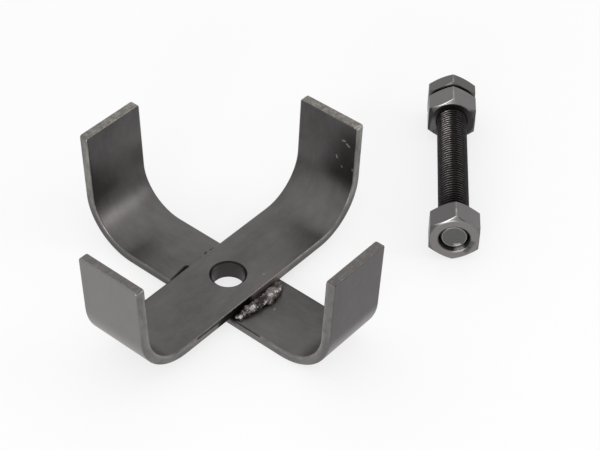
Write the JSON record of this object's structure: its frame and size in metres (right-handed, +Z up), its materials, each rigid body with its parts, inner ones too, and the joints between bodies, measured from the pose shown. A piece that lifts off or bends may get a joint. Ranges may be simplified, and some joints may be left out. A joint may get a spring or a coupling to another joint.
{
  "type": "clutch diaphragm compressor",
  "caption": "Welded cross of bent steel strips with upturned legs and a centre hole, with a loose threaded stud and hex nuts, for compressing a clutch's diaphragm spring.",
  "frame": {"origin": "on the axis of the centre hole, at the underside of the lower bar, which is the face that the frame stands on", "axes": "+X along the upper bar, +Y along the lower bar, +Z up along the centre hole, out of the open end between the legs"},
  "size_m": [0.1885, 0.112, 0.0457],
  "materials": {
    "bar_steel": "satin dark grey, with the strip's mill skin and bright sheared edges",
    "weld_metal": "bright rippled weld with dark hollows",
    "stud_steel": "black oxide, oiled",
    "nut_steel": "satin grey phosphate"
  },
  "bodies": {
    "frame": {"upper_bar": "bar_steel", "lower_bar": "bar_steel", "front_weld": "weld_metal", "rear_weld": "weld_metal"},
    "drive_nut": {"drive_nut": "nut_steel"},
    "stud": {"stud": "stud_steel"},
    "jam_nut": {"jam_nut": "nut_steel"},
    "coupling_nut": {"coupling_nut": "nut_steel"}
  },
  "joints": [
    {"name": "drive_nut_turn", "type": "hinge", "parent": "frame", "child": "drive_nut", "pos_m": [0.11817, -0.00686, 0.01008], "axis": [-0.7955, -0.606, 0], "range_deg": [0, 15840]},
    {"name": "stud_draw", "type": "slide", "parent": "frame", "child": "stud", "axis": [0.7955, 0.606, 0], "range_m": [0, 0.05588]},
    {"name": "jam_nut_run", "type": "slide", "parent": "stud", "child": "jam_nut", "axis": [0.7955, 0.606, 0], "range_m": [-0.00105, 0.008]},
    {"name": "coupling_nut_run", "type": "slide", "parent": "stud", "child": "coupling_nut", "axis": [-0.7955, -0.606, 0], "range_m": [0, 0.0085]}
  ],
  "couplings": [
    {"joint": "drive_nut_turn", "follows": "stud_draw", "rad_per_m": 4947.4}
  ]
}
